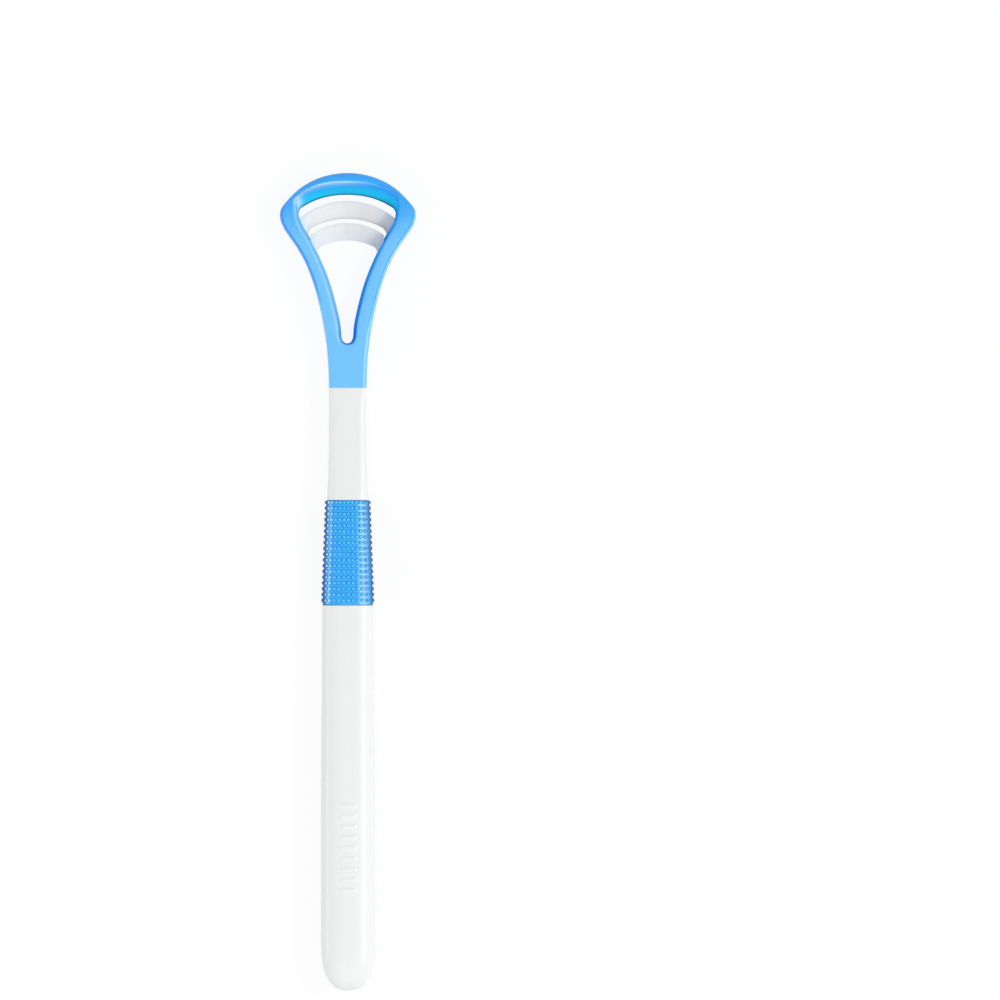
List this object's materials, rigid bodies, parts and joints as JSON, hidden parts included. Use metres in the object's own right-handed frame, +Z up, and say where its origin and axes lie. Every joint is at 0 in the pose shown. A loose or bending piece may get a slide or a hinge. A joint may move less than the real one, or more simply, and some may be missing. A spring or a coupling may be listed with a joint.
{
  "type": "tongue scraper",
  "caption": "Hand-held tongue scraper with a fan-shaped head frame, curved scraping blades across its opening, a soft studded grip and a straight rounded handle.",
  "frame": {"origin": "middle of the footprint, on the surface that the scraper lies on with its back down", "axes": "+X across the head, +Y along the handle towards the head, +Z up out of the front face"},
  "size_m": [0.0282, 0.17, 0.0082],
  "materials": {
    "handle_white": "smooth moulded polypropylene, satin gloss",
    "grip_blue": "soft thermoplastic rubber with raised studs",
    "head_blue": "glossy moulded plastic, slightly milky",
    "blade_white": "smooth moulded plastic, satin gloss"
  },
  "bodies": {
    "root": {"handle": "handle_white", "grip_sleeve": "grip_blue", "head_frame": "head_blue", "upper_blade": "blade_white", "lower_blade": "blade_white"}
  },
  "joints": []
}
